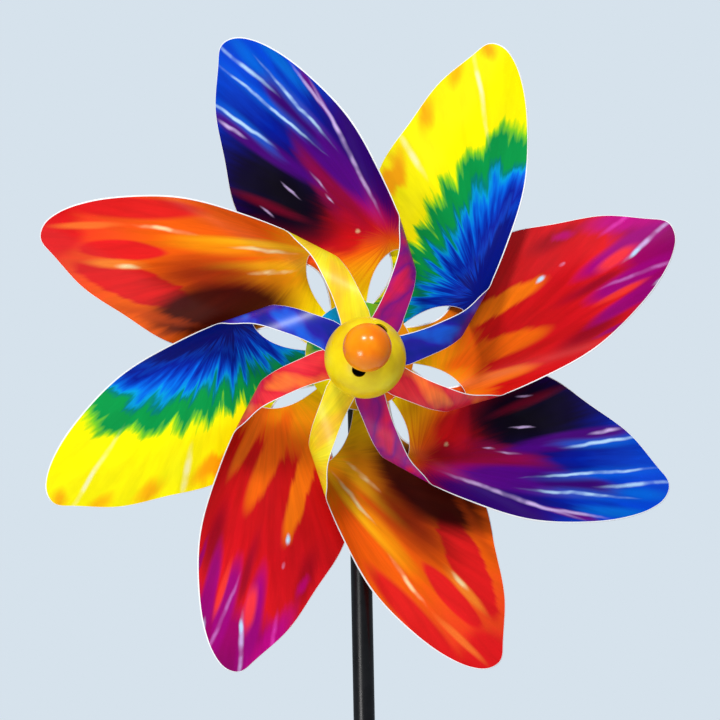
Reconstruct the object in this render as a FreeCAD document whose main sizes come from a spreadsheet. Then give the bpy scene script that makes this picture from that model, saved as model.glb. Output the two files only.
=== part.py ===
"""Eight-petal garden pinwheel on a pole, as separate pieces.

Frame: millimetres, +Z up. The origin is on the pole's axis at ground level.
The wheel faces -Y and spins about a level axle at the hub height.
"""
import FreeCAD, Part
import math
import os
import re

import Sketcher

VECTOR = FreeCAD.Vector
UP = VECTOR(0, 0, 1)
ACROSS = VECTOR(1, 0, 0)
SPIN = VECTOR(0, 1, 0)

doc = FreeCAD.newDocument("Pinwheel")

# ---------------------------------------------------------------- driving sizes

SIZES = {
    # pole
    "hub_height": 640,
    "pole_radius": 8,
    "pole_wall": 1,
    "pole_joint_height": 300,
    "ferrule_length": 80,
    "ferrule_wall": 1.5,
    "ferrule_screw_spacing": 50,
    "plug_shoulder": 6,
    "plug_insert": 30,
    "plug_flare": 2,
    "spike_radius": 4,
    "spike_shank_radius": 3.5,
    "spike_exposed": 160,
    "spike_point": 22,
    "spike_seat": 24,
    # pole head and axle
    "head_wall": 2.5,
    "head_skirt": 35,
    "head_top": 13,
    "head_dome": 4,
    "pole_top_drop": 10,
    "boss_radius": 7.5,
    "boss_reach": 13,
    "rear_boss_reach": 12.5,
    "axle_radius": 3,
    "cap_nut_seat": 5,
    "cap_nut_width": 10,
    "cap_nut_height": 5,
    "cap_nut_dome": 4.2,
    "screw_radius": 1.5,
    "screw_length": 7,
    "screw_head_radius": 2.8,
    "screw_head_height": 1.8,
    "head_screw_drop": 26,
    # fits
    "fit_gap": 0.02,
    "running_fit": 0.05,
    "end_play": 0.3,
    # stack along the axle
    "standoff_length": 14,
    "standoff_radius": 6,
    "washer_radius": 6.5,
    "washer_thickness": 1,
    "bush_radius": 5,
    "bush_length": 9,
    "bush_flange_radius": 6.8,
    "bush_flange": 1,
    "tube_radius": 10,
    "spigot_radius": 7,
    "hub_gap": 48,
    "flange_thickness": 3,
    "rear_flange_radius": 25,
    "front_flange_radius": 22.5,
    "snap_ring_height": 3,
    "snap_ring_wall": 3,
    "nut_width": 10,
    "nut_height": 6,
    "nut_collar": 1.2,
    "axle_stick_out": 1.5,
    # printed sheet
    "sheet_thickness": 0.5,
    "eye_gap": 0.1,
    "disc_radius": 40,
    "eyelet_radius": 12,
    "petal_tip": 250,
    "trailing_width": 55,
    "fold_reach": 56.6,
    "fold_inner": 51.5,
    "fold_outer": 92,
    "root_drop": 10.45,
    "sweep_start": 11,
    "sweep_radius": 35,
    "sweep_angle": 14,
    "bay_foot_angle": 25,
    "arm_turn": 43.5,
    "arm_mouth": 30.4,
    "arm_outer_offset": 6.9,
    "arm_inner_offset": 15,
    "set_angle": 105.9,
    # ball and nose
    "ball_radius": 29,
    "ball_wall": 3,
    "ball_seat": 20,
    "ball_hole_radius": 5,
    "nose_radius": 17.1,
    "nose_distance": 41,
    "nose_tilt": 11.3,
    "nose_turn": 94.6,
    "peg_radius": 5,
    "peg_length": 7,
    "clip_radius": 9,
    "clip_thickness": 0.8,
}

sheet = doc.addObject("Spreadsheet::Sheet", "Sizes")
for row, (alias, number) in enumerate(SIZES.items(), start=1):
    sheet.set(f"A{row}", alias)
    sheet.set(f"B{row}", str(number))
    sheet.setAlias(f"B{row}", alias)
doc.recompute()

WORD = re.compile(r"[a-z_]+")


def size(alias):
    """The value of one cell."""
    return float(sheet.get(alias))


def bound(formula):
    """A formula of aliases as the expression engine wants it, each with its sheet's name."""
    return WORD.sub(lambda hit: f"Sizes.{hit[0]}" if hit[0] in SIZES else hit[0], formula)


def drive(thing, **formulas):
    """Tie properties of a document object to formulas; a double underscore stands for a dot."""
    for name, formula in formulas.items():
        thing.setExpression(name.replace("__", "."), bound(formula))


def total(*terms):
    """The sum of several formulas."""
    return " + ".join(f"({term})" for term in terms)


# ------------------------------------------- stations ahead of the pole's axis, along the axle

BOSS_FACE = "boss_reach"
SLEEVE_FACE = total(BOSS_FACE, "standoff_length")
REAR_WASHER_FACE = total(SLEEVE_FACE, "washer_thickness")
WHEEL_REAR = total(REAR_WASHER_FACE, "end_play")
TUBE_REAR = total(WHEEL_REAR, "bush_flange")
STACK_REAR = total(TUBE_REAR, "flange_thickness")
STACK_FRONT = total(STACK_REAR, "4 * sheet_thickness")
ARMS_REAR = total(STACK_FRONT, "hub_gap")
ARMS_FRONT = total(ARMS_REAR, "8 * sheet_thickness")
TUBE_FRONT = total(ARMS_FRONT, "flange_thickness")
WHEEL_FRONT = total(TUBE_FRONT, "bush_flange")
FRONT_WASHER_REAR = total(WHEEL_FRONT, "end_play")
NUT_REAR = total(FRONT_WASHER_REAR, "washer_thickness")
NUT_FACE = total(NUT_REAR, "nut_height")
AXLE_FRONT = total(NUT_FACE, "axle_stick_out")
AXLE_REAR = total("-rear_boss_reach", "-cap_nut_seat")
BALL_CENTRE = total(TUBE_FRONT, "ball_seat")


# ---------------------------------------------------------------- building helpers

def body_plane(body, role):
    """One of a body's own origin planes."""
    return [part for part in body.Origin.OriginFeatures if part.Role == role][0]


def attached_sketch(body, name, role):
    """An empty sketch on one of the body's origin planes."""
    sketch = body.newObject("Sketcher::SketchObject", name)
    sketch.AttachmentSupport = [(body_plane(body, role), "")]
    sketch.MapMode = "FlatFace"
    return sketch


def draw_polygon(sketch, corners):
    """A closed polygon whose corners are pairs of formulas, measured from the sketch's origin."""
    count = len(corners)
    # a rough ring of points: the constraints below place every corner
    rough = []
    for index in range(count):
        turn = 2 * math.pi * index / count
        rough.append(VECTOR(40 + 20 * math.cos(turn), 20 * math.sin(turn), 0))
    for index in range(count):
        sketch.addGeometry(Part.LineSegment(rough[index], rough[(index + 1) % count]), False)
    for index in range(count):
        sketch.addConstraint(Sketcher.Constraint("Coincident", index, 2, (index + 1) % count, 1))
    for index, (along, up) in enumerate(corners):
        for kind, formula, start in (("DistanceX", along, rough[index].x), ("DistanceY", up, rough[index].y)):
            if formula == "0":
                other_axis = -2 if kind == "DistanceX" else -1
                sketch.addConstraint(Sketcher.Constraint("PointOnObject", index, 1, other_axis))
                continue
            number = sketch.addConstraint(Sketcher.Constraint(kind, index, 1, start))
            sketch.setExpression(f"Constraints[{number}]", bound(formula))


def draw_circle(sketch, radius, along="0", up="0"):
    """A circle of a driven radius, centred by formulas."""
    circle = sketch.addGeometry(Part.Circle(VECTOR(1, 1, 0), UP, 5), False)
    number = sketch.addConstraint(Sketcher.Constraint("Radius", circle, 5))
    sketch.setExpression(f"Constraints[{number}]", bound(radius))
    for kind, formula in (("DistanceX", along), ("DistanceY", up)):
        if formula == "0":
            other_axis = -2 if kind == "DistanceX" else -1
            sketch.addConstraint(Sketcher.Constraint("PointOnObject", circle, 3, other_axis))
            continue
        number = sketch.addConstraint(Sketcher.Constraint(kind, circle, 3, 1))
        sketch.setExpression(f"Constraints[{number}]", bound(formula))


def revolved(label, role, corners):
    """A body turned about the sketch's vertical axis."""
    body = doc.addObject("PartDesign::Body", label)
    sketch = attached_sketch(body, f"{label}_profile", role)
    draw_polygon(sketch, corners)
    turn = body.newObject("PartDesign::Revolution", f"{label}_turn")
    turn.Profile = sketch
    turn.ReferenceAxis = (sketch, ["V_Axis"])
    turn.Angle = 360
    return body


def turned_on_axle(label, corners):
    """A turned piece on the spin axis; corners are (radius, distance ahead of the pole's axis)."""
    body = revolved(label, "XY_Plane", [(radius, f"-({ahead})") for radius, ahead in corners])
    drive(body, Placement__Base__z="hub_height")
    return body


def ring_on_axle(label, inner, outer, rear, front):
    """A plain ring on the spin axis."""
    return turned_on_axle(label, [(inner, rear), (outer, rear), (outer, front), (inner, front)])


def turned_on_pole(label, corners):
    """A turned piece on the pole's axis; corners are (radius, height)."""
    return revolved(label, "XZ_Plane", corners)


def tube_on_pole(label, inner, outer, bottom, top):
    """A plain tube on the pole's axis."""
    return turned_on_pole(label, [(inner, bottom), (outer, bottom), (outer, top), (inner, top)])


def extruded(body, sketch, kind, length, backwards):
    """A pad or a pocket of a driven length."""
    feature = body.newObject(f"PartDesign::{kind}", f"{sketch.Name}_{kind.lower()}")
    feature.Profile = sketch
    feature.Reversed = backwards
    drive(feature, Length=length)
    return feature


def cylinder(name, radius, height):
    """A Part cylinder with driven radius and height."""
    solid = doc.addObject("Part::Cylinder", name)
    drive(solid, Radius=radius, Height=height)
    return solid


def joined(label, base, tool, kind="Part::Cut"):
    """A boolean of two document objects."""
    result = doc.addObject(kind, label)
    result.Base = base
    result.Tool = tool
    return result


def fused(label, shapes):
    """One solid out of several document objects."""
    result = doc.addObject("Part::MultiFuse", label)
    result.Shapes = shapes
    result.Refine = True
    return result


# ---------------------------------------------------------------- pole, ferrule and spike

POLE_BORE = "pole_radius - pole_wall"
FERRULE_BORE = "pole_radius + fit_gap"
FERRULE_OUTSIDE = "pole_radius + fit_gap + ferrule_wall"
POLE_TOP = "hub_height - pole_top_drop"


def radial_screw(name, seat, height):
    """A screw driven in from behind (+Y) at a height, its head seated at a distance from the axis."""
    shank = cylinder(f"{name}_shank", "screw_radius", "screw_length")
    head = cylinder(f"{name}_cap", "screw_head_radius", "screw_head_height")
    for piece, start in ((shank, f"({seat}) - screw_length"), (head, seat)):
        piece.Placement.Rotation = FreeCAD.Rotation(UP, SPIN)
        drive(piece, Placement__Base__y=start, Placement__Base__z=height)
    return fused(name, [shank, head])


def screw_bore(body, name, height):
    """A clearance bore for a radial screw, cut from the axis towards +Y."""
    sketch = attached_sketch(body, f"{name}_sketch", "XZ_Plane")
    draw_circle(sketch, "screw_radius + fit_gap", "0", height)
    return extruded(body, sketch, "Pocket", "4 * pole_radius", False)


def add_ferrule_bores(body, heights):
    """The bores that the ferrule's screws pass through."""
    for index, height in enumerate(heights):
        screw_bore(body, f"{body.Name}_bore{index}", height)


LOWER_SCREW = "pole_joint_height - ferrule_screw_spacing / 2"
UPPER_SCREW = "pole_joint_height + ferrule_screw_spacing / 2"

upper_pole = tube_on_pole("upper_pole", POLE_BORE, "pole_radius", "pole_joint_height", POLE_TOP)
add_ferrule_bores(upper_pole, [UPPER_SCREW, "hub_height - head_screw_drop"])

lower_pole = tube_on_pole("lower_pole", POLE_BORE, "pole_radius", "plug_shoulder", "pole_joint_height")
add_ferrule_bores(lower_pole, [LOWER_SCREW])

pole_ferrule = tube_on_pole(
    "pole_ferrule", FERRULE_BORE, FERRULE_OUTSIDE,
    "pole_joint_height - ferrule_length / 2", "pole_joint_height + ferrule_length / 2")
add_ferrule_bores(pole_ferrule, [LOWER_SCREW, UPPER_SCREW])

ferrule_screws = doc.addObject("Part::Compound", "ferrule_screws")
ferrule_screws.Links = [
    radial_screw("ferrule_screw_low", FERRULE_OUTSIDE, LOWER_SCREW),
    radial_screw("ferrule_screw_high", FERRULE_OUTSIDE, UPPER_SCREW),
]

turned_on_pole("spike_plug", [
    ("spike_shank_radius + fit_gap", "0"),
    ("pole_radius + plug_flare - 1", "0"),
    ("pole_radius + plug_flare", "1"),
    ("pole_radius + plug_flare", "plug_shoulder"),
    ("pole_radius - pole_wall - fit_gap", "plug_shoulder"),
    ("pole_radius - pole_wall - fit_gap", "plug_shoulder + plug_insert"),
    ("spike_shank_radius + fit_gap", "plug_shoulder + plug_insert"),
])

turned_on_pole("ground_spike", [
    ("0", "-spike_exposed"),
    ("spike_radius / 4", "-spike_exposed"),
    ("spike_radius", "spike_point - spike_exposed"),
    ("spike_radius", "0"),
    ("spike_shank_radius", "0"),
    ("spike_shank_radius", "plug_shoulder + spike_seat"),
    ("0", "plug_shoulder + spike_seat"),
])

# ---------------------------------------------------------------- pole head

HEAD_RADIUS = "pole_radius + fit_gap + head_wall"

pole_head = turned_on_pole("pole_head", [
    (FERRULE_BORE, "-head_skirt"),
    (HEAD_RADIUS, "-head_skirt"),
    (HEAD_RADIUS, "head_top - head_dome"),
    (f"{HEAD_RADIUS} - head_dome", "head_top"),
    ("0", "head_top"),
    ("0", "-pole_top_drop"),
    (FERRULE_BORE, "-pole_top_drop"),
])
front_boss = attached_sketch(pole_head, "front_boss", "XZ_Plane")
draw_circle(front_boss, "boss_radius")
extruded(pole_head, front_boss, "Pad", "boss_reach", False)
rear_boss = attached_sketch(pole_head, "rear_boss", "XZ_Plane")
draw_circle(rear_boss, "boss_radius")
extruded(pole_head, rear_boss, "Pad", "rear_boss_reach", True)
for side, backwards in (("front", False), ("rear", True)):
    axle_bore = attached_sketch(pole_head, f"axle_bore_{side}", "XZ_Plane")
    draw_circle(axle_bore, "axle_radius + fit_gap")
    extruded(pole_head, axle_bore, "Pocket", "4 * pole_radius", backwards)
screw_bore(pole_head, "head_screw_bore", "-head_screw_drop")
drive(pole_head, Placement__Base__z="hub_height")

radial_screw("head_screw", HEAD_RADIUS, "hub_height - head_screw_drop")

# ---------------------------------------------------------------- axle and its fixings

turned_on_axle("axle", [
    ("0", AXLE_REAR), ("axle_radius", AXLE_REAR), ("axle_radius", AXLE_FRONT), ("0", AXLE_FRONT)])

AXLE_BORE = "axle_radius + fit_gap"
ring_on_axle("standoff_sleeve", AXLE_BORE, "standoff_radius", BOSS_FACE, SLEEVE_FACE)
ring_on_axle("rear_washer", AXLE_BORE, "washer_radius", SLEEVE_FACE, REAR_WASHER_FACE)
ring_on_axle("front_washer", AXLE_BORE, "washer_radius", FRONT_WASHER_REAR, NUT_REAR)


def hexagon(name, width, height, rear):
    """A hexagonal prism on the spin axis, its rear face at a station, extending forwards."""
    prism = doc.addObject("Part::Prism", name)
    prism.Polygon = 6
    prism.Placement.Rotation = FreeCAD.Rotation(ACROSS, 90)
    drive(prism, Circumradius=f"({width}) / sqrt(3)", Height=height)
    drive(prism, Placement__Base__y=f"-({rear})", Placement__Base__z="hub_height")
    return prism


def rod_on_axle(name, radius, rear, length):
    """A round rod on the spin axis from a station forwards."""
    rod = cylinder(name, radius, length)
    rod.Placement.Rotation = FreeCAD.Rotation(ACROSS, 90)
    drive(rod, Placement__Base__y=f"-({rear})", Placement__Base__z="hub_height")
    return rod


nut_hex = hexagon("nut_hex", "nut_width", "nut_height - nut_collar", NUT_REAR)
nut_collar = rod_on_axle(
    "nut_locking_collar", "nut_width / 2 - 0.6", total(NUT_FACE, "-nut_collar"), "nut_collar")
nut_blank = fused("nut_blank", [nut_hex, nut_collar])
nut_bore = rod_on_axle("nut_bore", AXLE_BORE, total(NUT_REAR, "-1"), "nut_height + 2")
joined("lock_nut", nut_blank, nut_bore)

CAP_NUT_FACE = "-rear_boss_reach"
cap_hex = hexagon("cap_hex", "cap_nut_width", "cap_nut_height", f"{CAP_NUT_FACE} - cap_nut_height")
cap_dome = doc.addObject("Part::Sphere", "cap_dome")
drive(cap_dome, Radius="cap_nut_dome", Placement__Base__z="hub_height")
drive(cap_dome, Placement__Base__y="rear_boss_reach + cap_nut_height")
cap_blank = fused("cap_blank", [cap_hex, cap_dome])
cap_bore = rod_on_axle("cap_bore", AXLE_BORE, AXLE_REAR, "cap_nut_seat")
joined("axle_cap_nut", cap_blank, cap_bore)

# ---------------------------------------------------------------- hub

BUSH_BORE = "axle_radius + running_fit"
BUSH_SEAT = "bush_radius + fit_gap"

turned_on_axle("hub_tube", [
    (BUSH_SEAT, TUBE_REAR),
    ("spigot_radius", TUBE_REAR),
    ("spigot_radius", STACK_FRONT),
    ("tube_radius", STACK_FRONT),
    ("tube_radius", ARMS_REAR),
    ("spigot_radius", ARMS_REAR),
    ("spigot_radius", TUBE_FRONT),
    (BUSH_SEAT, TUBE_FRONT),
])

for name, flange_face, inward in (("rear_bush", WHEEL_REAR, "+"), ("front_bush", WHEEL_FRONT, "-")):
    shoulder = f"{flange_face} {inward} bush_flange"
    inner_end = f"{shoulder} {inward} bush_length"
    turned_on_axle(name, [
        (BUSH_BORE, flange_face),
        ("bush_flange_radius", flange_face),
        ("bush_flange_radius", shoulder),
        ("bush_radius", shoulder),
        ("bush_radius", inner_end),
        (BUSH_BORE, inner_end),
    ])

FLANGE_BORE = "spigot_radius + fit_gap"
ring_on_axle("rear_flange", FLANGE_BORE, "rear_flange_radius", TUBE_REAR, STACK_REAR)

SNAP_RADIUS = "sqrt((ball_radius - ball_wall) ^ 2 - ball_seat ^ 2)"
turned_on_axle("front_flange", [
    (FLANGE_BORE, ARMS_FRONT),
    ("front_flange_radius", ARMS_FRONT),
    ("front_flange_radius", TUBE_FRONT),
    (f"{SNAP_RADIUS} - fit_gap", TUBE_FRONT),
    (f"{SNAP_RADIUS} - fit_gap", total(TUBE_FRONT, "snap_ring_height")),
    (f"{SNAP_RADIUS} - snap_ring_wall", total(TUBE_FRONT, "snap_ring_height")),
    (f"{SNAP_RADIUS} - snap_ring_wall", TUBE_FRONT),
    (FLANGE_BORE, TUBE_FRONT),
])

# ---------------------------------------------------------------- ball and nose

# the two dark holes: tilt from the spin axis, and turn about it seen from the front
BALL_HOLES = {"upper": (54.6, 62.8), "lower": (20.7, 233.0)}


def sphere(name, radius):
    """A Part sphere at the ball's centre."""
    solid = doc.addObject("Part::Sphere", name)
    drive(solid, Radius=radius)
    drive(solid, Placement__Base__y=f"-({BALL_CENTRE})", Placement__Base__z="hub_height")
    return solid


def aim(piece, tilt, turn, reach):
    """Point a piece's Z axis outwards from the ball's centre and set it a reach along that line."""
    side_x = f"sin({tilt}) * cos({turn})"
    side_z = f"sin({tilt}) * sin({turn})"
    drive(piece, Placement__Base__x=f"({reach}) * {side_x}")
    drive(piece, Placement__Base__y=f"-({BALL_CENTRE}) - ({reach}) * cos({tilt})")
    drive(piece, Placement__Base__z=f"hub_height + ({reach}) * {side_z}")
    # turn about the axis at right angles to both Z and the line; the angle is between them
    drive(piece, Placement__Rotation__Axis__x=f"cos({tilt})")
    drive(piece, Placement__Rotation__Axis__y=side_x)
    drive(piece, Placement__Rotation__Axis__z="0")
    drive(piece, Placement__Rotation__Angle=f"acos({side_z})")


NOSE_TILT = "nose_tilt * 1 deg"
NOSE_TURN = "nose_turn * 1 deg"

ball_outside = sphere("ball_outside", "ball_radius")
ball_hollow = sphere("ball_hollow", "ball_radius - ball_wall")
ball_trim = rod_on_axle("ball_trim", "2 * ball_radius", total(TUBE_FRONT, "-ball_radius"), "ball_radius")
nose_seat = sphere("nose_seat", "nose_radius + fit_gap")
aim(nose_seat, NOSE_TILT, NOSE_TURN, "nose_distance")
ball_cuts = [ball_hollow, ball_trim, nose_seat]
for name, (tilt, turn) in BALL_HOLES.items():
    drill = cylinder(f"drill_{name}", "ball_hole_radius", "ball_radius")
    aim(drill, f"{tilt} deg", f"{turn} deg", "ball_radius / 2")
    ball_cuts.append(drill)
joined("hub_ball", ball_outside, fused("ball_cutters", ball_cuts))

nose_sphere = sphere("nose_sphere", "nose_radius")
aim(nose_sphere, NOSE_TILT, NOSE_TURN, "nose_distance")
PEG_START = "nose_distance - nose_radius - peg_length"
nose_peg = cylinder("nose_peg", "peg_radius", "nose_radius + peg_length")
aim(nose_peg, NOSE_TILT, NOSE_TURN, PEG_START)
fused("nose_ball", [nose_sphere, nose_peg])

CLIP_FACE = "sqrt((ball_radius - ball_wall) ^ 2 - clip_radius ^ 2) - running_fit"
clip_disc = cylinder("clip_disc", "clip_radius", "clip_thickness")
clip_bore = cylinder("clip_bore", "peg_radius + fit_gap", "clip_thickness + 2")
aim(clip_disc, NOSE_TILT, NOSE_TURN, f"{CLIP_FACE} - clip_thickness")
aim(clip_bore, NOSE_TILT, NOSE_TURN, f"{CLIP_FACE} - clip_thickness - 1")
joined("nose_clip", clip_disc, clip_bore)
doc.recompute()

# ---------------------------------------------------------------- printed sheet blades

# A petal's own frame: x runs out along the line that the sheet rolls about, y goes
# clockwise seen from the front, and z goes back. The sheet lies flat at the hub, sweeps
# back along its trailing side, and rolls forward along its leading side, from where the
# arm returns to the front of the hub.

# the trailing edge from disc to tip: share of the petal's length, share of its trailing width
TRAILING_FORM = [(0.06, 0.16), (0.12, 0.185), (0.20, 0.46), (0.31, 0.86), (0.45, 1.0),
                 (0.60, 0.945), (0.785, 0.855), (0.94, 0.63)]
# the tip: distance short of the furthest reach, and distance towards the trailing side
TIP_FORM = [(2.4, 29.0), (0.0, 20.5), (4.0, 8.6)]
# the leading edge from tip to fold: share of the way, share of the fold's reach
LEADING_FORM = [(0.085, 0.064), (0.29, 0.492), (0.51, 0.785), (0.78, 0.940), (0.92, 0.985)]
# the arm's outer edge: share of the way in from the fold, share of the fold's reach
ARM_OUTER_FORM = [(0.05, 0.993), (0.12, 0.962), (0.36, 0.869), (0.60, 0.689), (0.80, 0.507)]
# the arm's inner edge, in the same terms
ARM_INNER_FORM = [(0.07, 0.994), (0.16, 0.970), (0.37, 0.892), (0.62, 0.766)]
# the bay behind the arm, from the fold back to the disc: share of the fold's inner end, share
# of the fold's reach
BAY_FORM = [(1.17, 0.985), (1.28, 0.89), (1.257, 0.73), (1.135, 0.56), (0.919, 0.40)]

# each petal's place on the wheel, clockwise from the first: how far it sits from even spacing
PETAL_SET = [0.3, -1.4, -0.4, -1.2, 1.1, 0.5, 2.1, 1.1]
# the two petals of each blade, from the front of the rear stack to its back
BLADES = {"blade_front": (1, 5), "blade_second": (0, 4), "blade_third": (3, 7), "blade_rear": (2, 6)}


def flat_point(x, y):
    """A point of a petal's front view."""
    return VECTOR(x, y, 0)


def smooth_edge(points):
    """One smooth edge through the points."""
    curve = Part.BSplineCurve()
    curve.interpolate(points)
    return curve.toShape()


def straight_edges(points):
    """Straight edges from point to point."""
    return [Part.LineSegment(a, b).toShape() for a, b in zip(points, points[1:])]


def face_of(edges):
    """A flat face inside a closed ring of edges."""
    return Part.Face(Part.Wire(Part.__sortEdges__(edges)))


def blend(start, end, share):
    """The value a share of the way from start to end."""
    return start + share * (end - start)


def rear_outline():
    """The part of a petal from the disc to the fold, seen from the front."""
    disc = size("disc_radius")
    tip = size("petal_tip")
    width = size("trailing_width")
    fold = size("fold_reach")
    root_drop = size("root_drop")
    root = flat_point(math.sqrt(disc ** 2 - root_drop ** 2), -root_drop)
    edge = [root]
    edge += [flat_point(blend(disc, tip, along), -share * width) for along, share in TRAILING_FORM]
    edge += [flat_point(tip - short, -aside) for short, aside in TIP_FORM]
    edge += [flat_point(blend(tip, size("fold_outer"), along), share * fold) for along, share in LEADING_FORM]
    edge.append(flat_point(size("fold_outer"), fold))
    margin = fold + 2 * size("sheet_thickness")
    inner = size("fold_inner")
    bay_foot = math.radians(size("bay_foot_angle"))
    bay = [flat_point(inner, fold)]
    bay += [flat_point(along * inner, share * fold) for along, share in BAY_FORM]
    bay.append(flat_point(disc * math.cos(bay_foot), disc * math.sin(bay_foot)))
    rim = straight_edges([
        edge[-1], flat_point(size("fold_outer"), margin), flat_point(inner, margin), bay[0]])
    inside = straight_edges([bay[-1], flat_point(disc / 4, disc / 4), flat_point(disc / 4, -root_drop), root])
    return face_of([smooth_edge(edge), smooth_edge(bay)] + rim + inside)


def arm_outline():
    """The part of a petal from the fold back to the front of the hub, seen from the front."""
    fold = size("fold_reach")
    eyelet = size("eyelet_radius")
    turn = math.radians(size("arm_turn"))
    inward = flat_point(math.cos(turn), math.sin(turn))
    aside = flat_point(math.sin(turn), -math.cos(turn))
    mouth = size("arm_mouth")
    outer_near = inward * mouth + aside * size("arm_outer_offset")
    inner_near = inward * mouth - aside * size("arm_inner_offset")
    outer_start = size("fold_outer")
    inner_start = size("fold_inner")
    outer = [flat_point(outer_start, fold)]
    outer += [
        flat_point(blend(outer_start, outer_near.x, along), share * fold)
        for along, share in ARM_OUTER_FORM]
    outer.append(outer_near)
    inner = [flat_point(inner_start, fold)]
    inner += [
        flat_point(blend(inner_start, inner_near.x, along), share * fold)
        for along, share in ARM_INNER_FORM]
    inner.append(inner_near)
    margin = fold + 2 * size("sheet_thickness")
    rim = straight_edges([
        inner[0], flat_point(inner_start, margin), flat_point(outer_start, margin), outer[0]])
    outer_touch = aside * eyelet
    inner_touch = -aside * eyelet
    cap = Part.Arc(outer_touch, -inward * eyelet, inner_touch).toShape()
    sides = straight_edges([outer_near, outer_touch]) + straight_edges([inner_near, inner_touch])
    return face_of([smooth_edge(outer), smooth_edge(inner), cap] + rim + sides)


def rolled_section(rise, side):
    """One surface of the sheet's cross-section, for an arm that is a rise ahead of its root.

    side is +1 for the surface facing forward at the root, and -1 for the one facing back.
    """
    half = side * size("sheet_thickness") / 2
    roll = rise / 2
    start = -size("sweep_start")
    sweep = size("sweep_radius")
    angle = math.radians(size("sweep_angle"))
    roll_start = size("fold_reach") - roll

    def swept(turn, more=0.0):
        reach = sweep + half
        y = start - reach * math.sin(turn) - more * math.cos(turn)
        z = sweep - reach * math.cos(turn) + more * math.sin(turn)
        return VECTOR(0, y, z)

    def rolled(turn):
        reach = roll - half
        return VECTOR(0, roll_start + reach * math.sin(turn), -roll + reach * math.cos(turn))

    trailing_end = swept(angle, 2 * size("trailing_width"))
    arm_end = VECTOR(0, -2 * size("eyelet_radius"), -rise + half)
    edges = [
        Part.LineSegment(trailing_end, swept(angle)).toShape(),
        Part.Arc(swept(angle), swept(angle / 2), swept(0)).toShape(),
        Part.LineSegment(swept(0), rolled(0)).toShape(),
        Part.Arc(rolled(0), rolled(math.pi / 2), rolled(math.pi)).toShape(),
        Part.LineSegment(rolled(math.pi), arm_end).toShape(),
    ]
    return edges, trailing_end, arm_end


def petal(rise):
    """One petal with its arm, in its own frame, its root's middle plane at z = 0."""
    front_edges, front_tail, front_arm = rolled_section(rise, 1)
    back_edges, back_tail, back_arm = rolled_section(rise, -1)
    caps = straight_edges([front_tail, back_tail]) + straight_edges([front_arm, back_arm])
    band = face_of(front_edges + back_edges + caps)
    reach = size("petal_tip") + 10
    band.translate(VECTOR(-size("disc_radius"), 0, 0))
    rolled_sheet = band.extrude(ACROSS * (reach + size("disc_radius")))
    behind = rear_outline()
    behind.translate(VECTOR(0, 0, -rise / 2))
    ahead = arm_outline()
    ahead.translate(VECTOR(0, 0, -rise / 2))
    rear_part = rolled_sheet.common(behind.extrude(UP * (rise / 2 + size("trailing_width"))))
    arm_part = rolled_sheet.common(ahead.extrude(-UP * rise))
    return rear_part, arm_part


def petal_placement(index, depth):
    """Where a petal's frame stands on the wheel: its turn, and its root's distance ahead."""
    turn = size("set_angle") - 45 * index + PETAL_SET[index]
    stand = FreeCAD.Rotation(SPIN, -turn).multiply(FreeCAD.Rotation(ACROSS, -90))
    return FreeCAD.Placement(VECTOR(0, -depth, 0), stand)


def station(name):
    """A station along the axle as a number, from the hub tube's built shape."""
    box = doc.getObject("hub_tube").Shape.BoundBox
    thickness = size("sheet_thickness")
    stack_front = -box.YMax + size("flange_thickness") + 4 * thickness
    return {"stack_front": stack_front, "arms_rear": stack_front + size("hub_gap")}[name]


def blade(label, level, petals):
    """A double-ended blade: a disc with two petals, whose arms end at the front of the hub."""
    thickness = size("sheet_thickness")
    root = station("stack_front") - (level + 0.5) * thickness
    bore_radius = size("spigot_radius") + size("eye_gap")
    disc_rear = VECTOR(0, -root + thickness / 2, 0)
    solids = [Part.makeCylinder(size("disc_radius"), thickness, disc_rear, -SPIN)]
    for index in petals:
        arm_level = station("arms_rear") + (index + 0.5) * thickness
        for piece in petal(arm_level - root):
            piece.Placement = petal_placement(index, root).multiply(piece.Placement)
            solids.append(piece)
    whole = solids[0].multiFuse(solids[1:]).removeSplitter()
    bore = Part.makeCylinder(bore_radius, 4 * size("hub_gap"), VECTOR(0, 0, 0), -SPIN)
    whole = whole.cut(bore)
    feature = doc.addObject("Part::Feature", label)
    feature.Shape = whole.Solids[0] if len(whole.Solids) == 1 else whole
    feature.Placement = FreeCAD.Placement(VECTOR(0, 0, size("hub_height")), FreeCAD.Rotation())
    return feature


for level, (label, petals) in enumerate(BLADES.items()):
    blade(label, level, petals)

# ---------------------------------------------------------------- check and write

NODES = [
    "blade_front", "blade_second", "blade_third", "blade_rear",
    "hub_tube", "rear_flange", "front_flange", "rear_bush", "front_bush",
    "hub_ball", "nose_ball", "nose_clip",
    "axle", "rear_washer", "front_washer", "lock_nut", "standoff_sleeve", "axle_cap_nut",
    "pole_head", "head_screw", "upper_pole", "pole_ferrule", "ferrule_screws", "lower_pole",
    "spike_plug", "ground_spike",
]

doc.recompute()
for item in doc.Objects:
    if "Invalid" in item.State or "Error" in item.State:
        raise RuntimeError(f"{item.Name} is {item.State}")

os.makedirs("parts", exist_ok=True)
for name in NODES:
    item = doc.getObject(name)
    shape = item.Shape
    if shape.isNull() or not shape.isValid():
        raise RuntimeError(f"{name} has no valid shape")
    expected = 2 if name == "ferrule_screws" else 1
    if len(shape.Solids) != expected:
        raise RuntimeError(f"{name} has {len(shape.Solids)} solids, not {expected}")
    shape.exportStep(f"parts/{name}.step")
    box = shape.BoundBox
    print(f"{name:16s} {shape.Volume:10.1f} mm3  x {box.XMin:7.1f} {box.XMax:7.1f}"
          f"  y {box.YMin:7.1f} {box.YMax:7.1f}  z {box.ZMin:7.1f} {box.ZMax:7.1f}")
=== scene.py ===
"""Looks for the eight-petal pinwheel: printed sheet blades, ball, nose and pole, in metres."""
import math

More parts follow.
